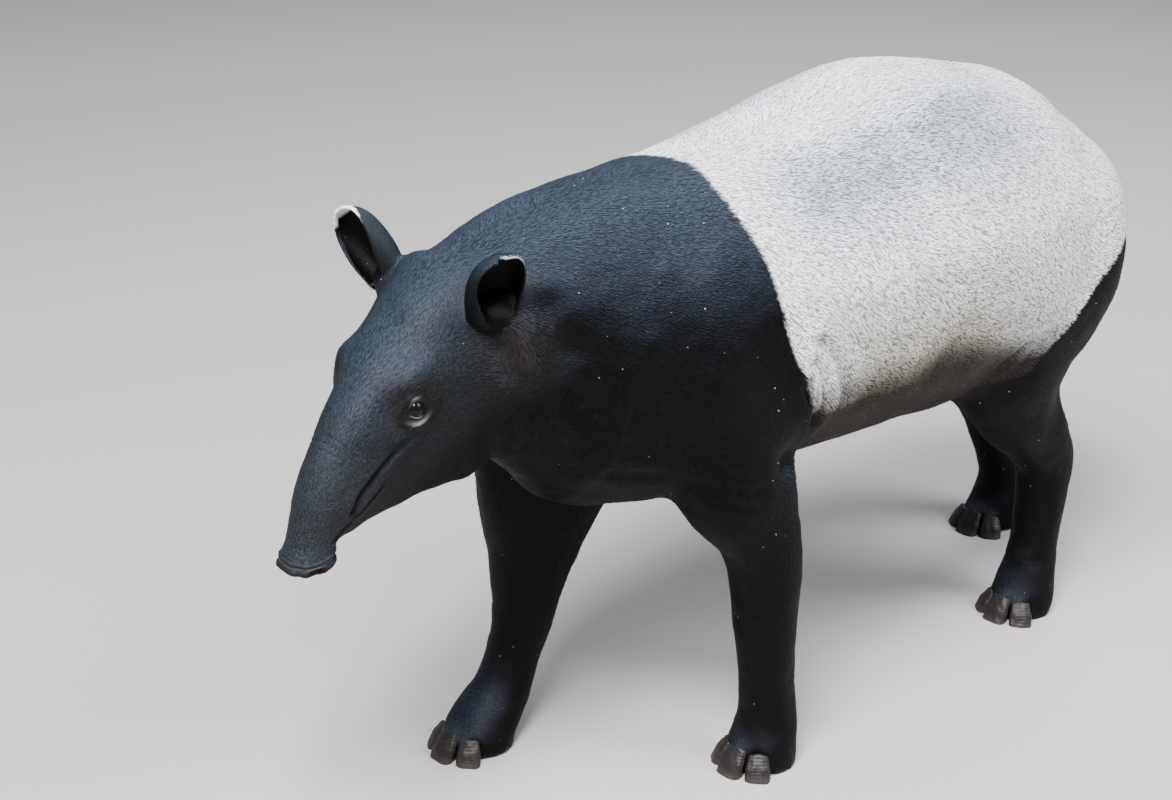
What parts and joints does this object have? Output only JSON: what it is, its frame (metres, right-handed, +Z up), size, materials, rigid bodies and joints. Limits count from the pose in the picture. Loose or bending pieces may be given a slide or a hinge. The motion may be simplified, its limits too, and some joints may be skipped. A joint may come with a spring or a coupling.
{
  "type": "malayan tapir",
  "caption": "Still, life-size Malayan tapir walking with its head low: black fore parts and legs, white saddle, hanging snout, cupped ears.",
  "frame": {"origin": "on the floor, under the middle of the whole animal's box", "axes": "the animal faces -Y, its left side is +X, +Z is up"},
  "size_m": [0.574, 1.8674, 1.049],
  "materials": {
    "black_hide": "thick hide under a short, flat, black coat with a soft sheen",
    "white_hide": "thick hide under a short, flat, grey-white coat",
    "hoof_horn": "dark horn, worn matt, with fine growth lines",
    "eye": "wet, near-black brown eyeball"
  },
  "bodies": {
    "root": {"barrel": "white_hide", "head": "black_hide", "snout": "black_hide", "neck": "black_hide", "forequarters": "black_hide", "thigh_left": "black_hide", "thigh_right": "black_hide", "leg_front_left": "black_hide", "leg_front_right": "black_hide", "leg_hind_left": "black_hide", "leg_hind_right": "black_hide", "foot_front_left": "black_hide", "foot_front_right": "black_hide", "foot_hind_left": "black_hide", "foot_hind_right": "black_hide", "tail": "black_hide", "ear_left": "black_hide", "ear_right": "black_hide", "eye_left": "eye", "eye_right": "eye", "hoof_front_left_middle": "hoof_horn", "hoof_front_left_outer": "hoof_horn", "hoof_front_left_inner": "hoof_horn", "hoof_front_left_side": "hoof_horn", "hoof_front_right_middle": "hoof_horn", "hoof_front_right_outer": "hoof_horn", "hoof_front_right_inner": "hoof_horn", "hoof_front_right_side": "hoof_horn", "hoof_hind_left_middle": "hoof_horn", "hoof_hind_left_outer": "hoof_horn", "hoof_hind_left_inner": "hoof_horn", "hoof_hind_right_middle": "hoof_horn", "hoof_hind_right_outer": "hoof_horn", "hoof_hind_right_inner": "hoof_horn"}
  },
  "joints": []
}
